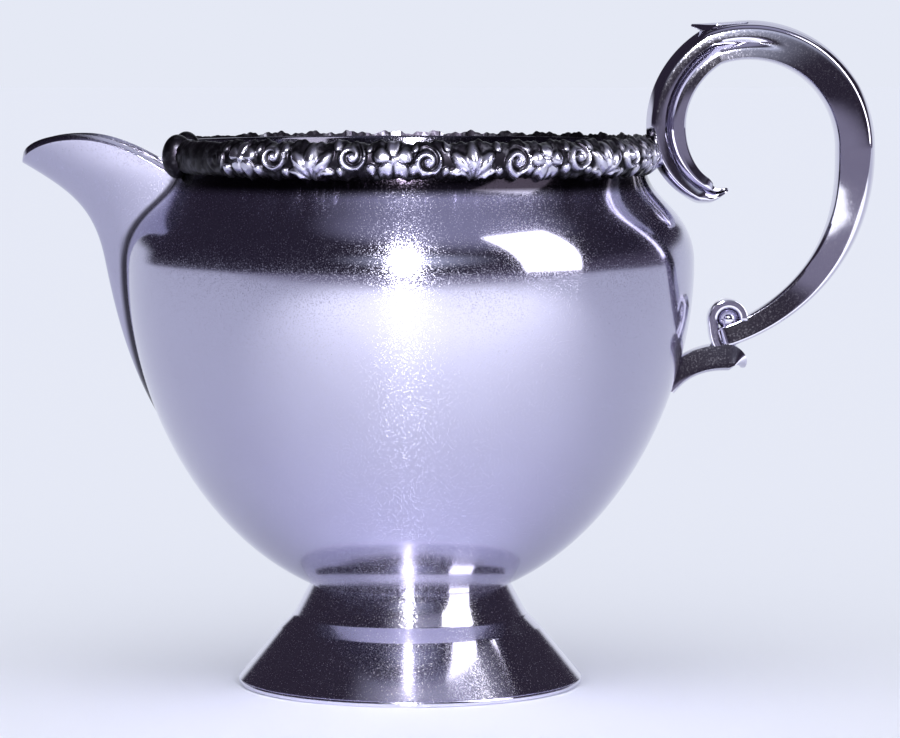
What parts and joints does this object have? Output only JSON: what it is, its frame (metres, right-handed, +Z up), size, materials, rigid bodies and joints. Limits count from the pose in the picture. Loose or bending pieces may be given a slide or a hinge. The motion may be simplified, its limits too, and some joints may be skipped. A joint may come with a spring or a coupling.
{
  "type": "creamer",
  "caption": "Footed silver cream jug with a round belly, a beak spout, a cast floral border round the mouth and a tall scroll handle, for pouring cream at table.",
  "frame": {"origin": "on the table, under the middle of the jug's overall box", "axes": "+X from the spout to the handle, +Y across the jug away from the picture's side, +Z up"},
  "size_m": [0.1376, 0.0918, 0.1072],
  "materials": {
    "polished_silver": "spun and cast silver, polished to a mirror with fine wear scratches",
    "oxidised_silver": "cast silver, bright on the high points and dark with oxide in the recesses"
  },
  "bodies": {
    "root": {"bowl": "polished_silver", "spout": "polished_silver", "rim_border_front": "oxidised_silver", "rim_border_back": "oxidised_silver", "foot": "polished_silver", "foot_base_wire": "polished_silver", "handle_loop": "polished_silver", "handle_thumb_spur": "polished_silver", "handle_lower_scroll": "polished_silver", "handle_bracket": "polished_silver"}
  },
  "joints": []
}
